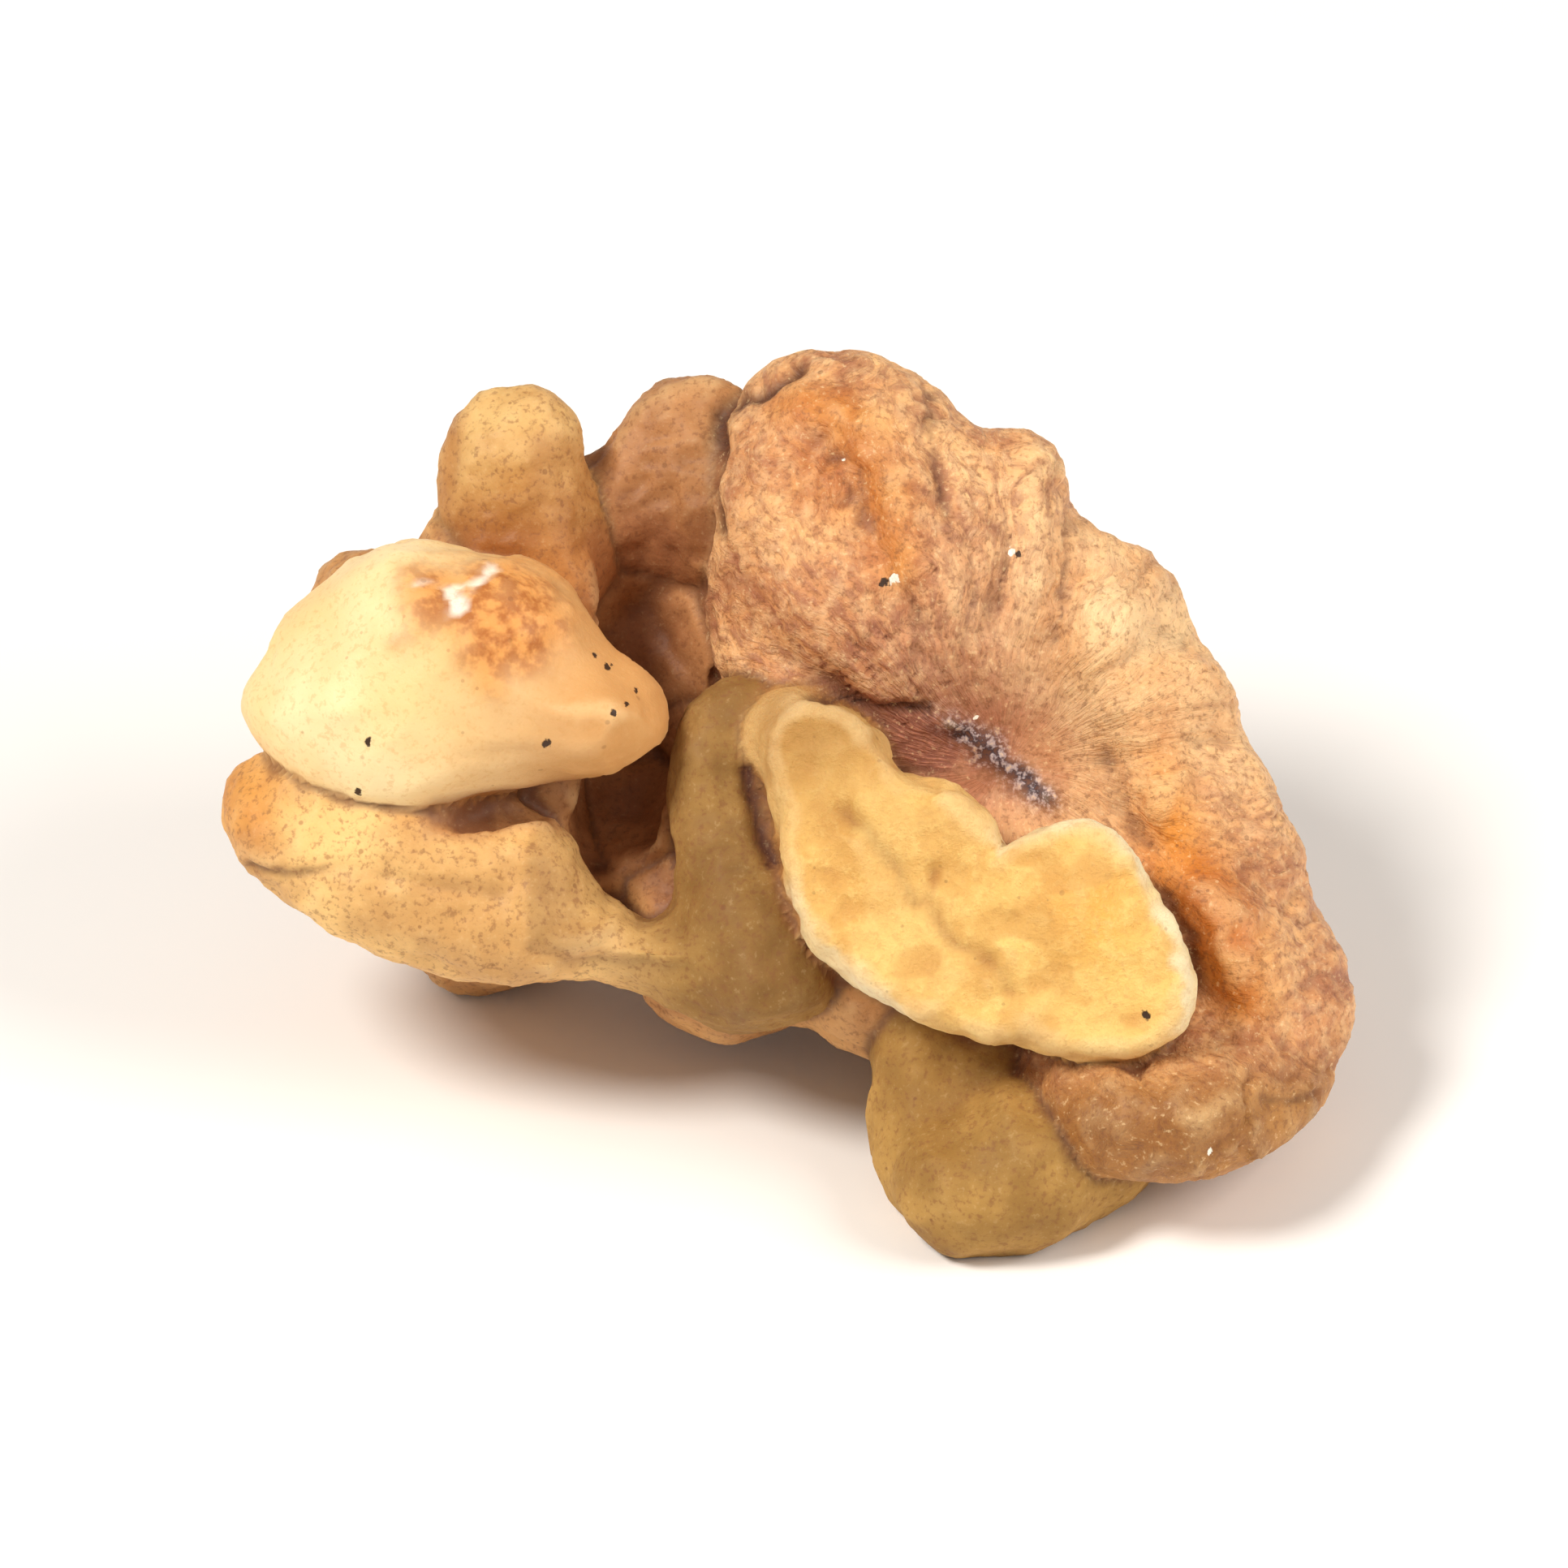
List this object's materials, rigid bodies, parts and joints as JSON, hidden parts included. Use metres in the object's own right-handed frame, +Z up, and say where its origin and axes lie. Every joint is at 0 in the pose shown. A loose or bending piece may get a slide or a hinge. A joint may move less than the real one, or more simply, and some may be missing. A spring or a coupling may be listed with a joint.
{
  "type": "cracked walnut kernel",
  "caption": "Shelled walnut kernel broken at its open side: lobed wings joined by a web, with a pleated fan and a pale waxy lobe, resting on its outer side and a blunt toe.",
  "frame": {"origin": "under the middle of the kernel's box, on the surface that it rests on", "axes": "+X across the wings from the pale lobe to the fan, +Y away from the open side, +Z up"},
  "size_m": [0.034, 0.0234, 0.0197],
  "materials": {
    "kernel": "thin tan skin with darker veins and brown creases, cream flesh where broken, waxy satin"
  },
  "bodies": {
    "root": {"walnut_kernel": "kernel"}
  },
  "joints": []
}
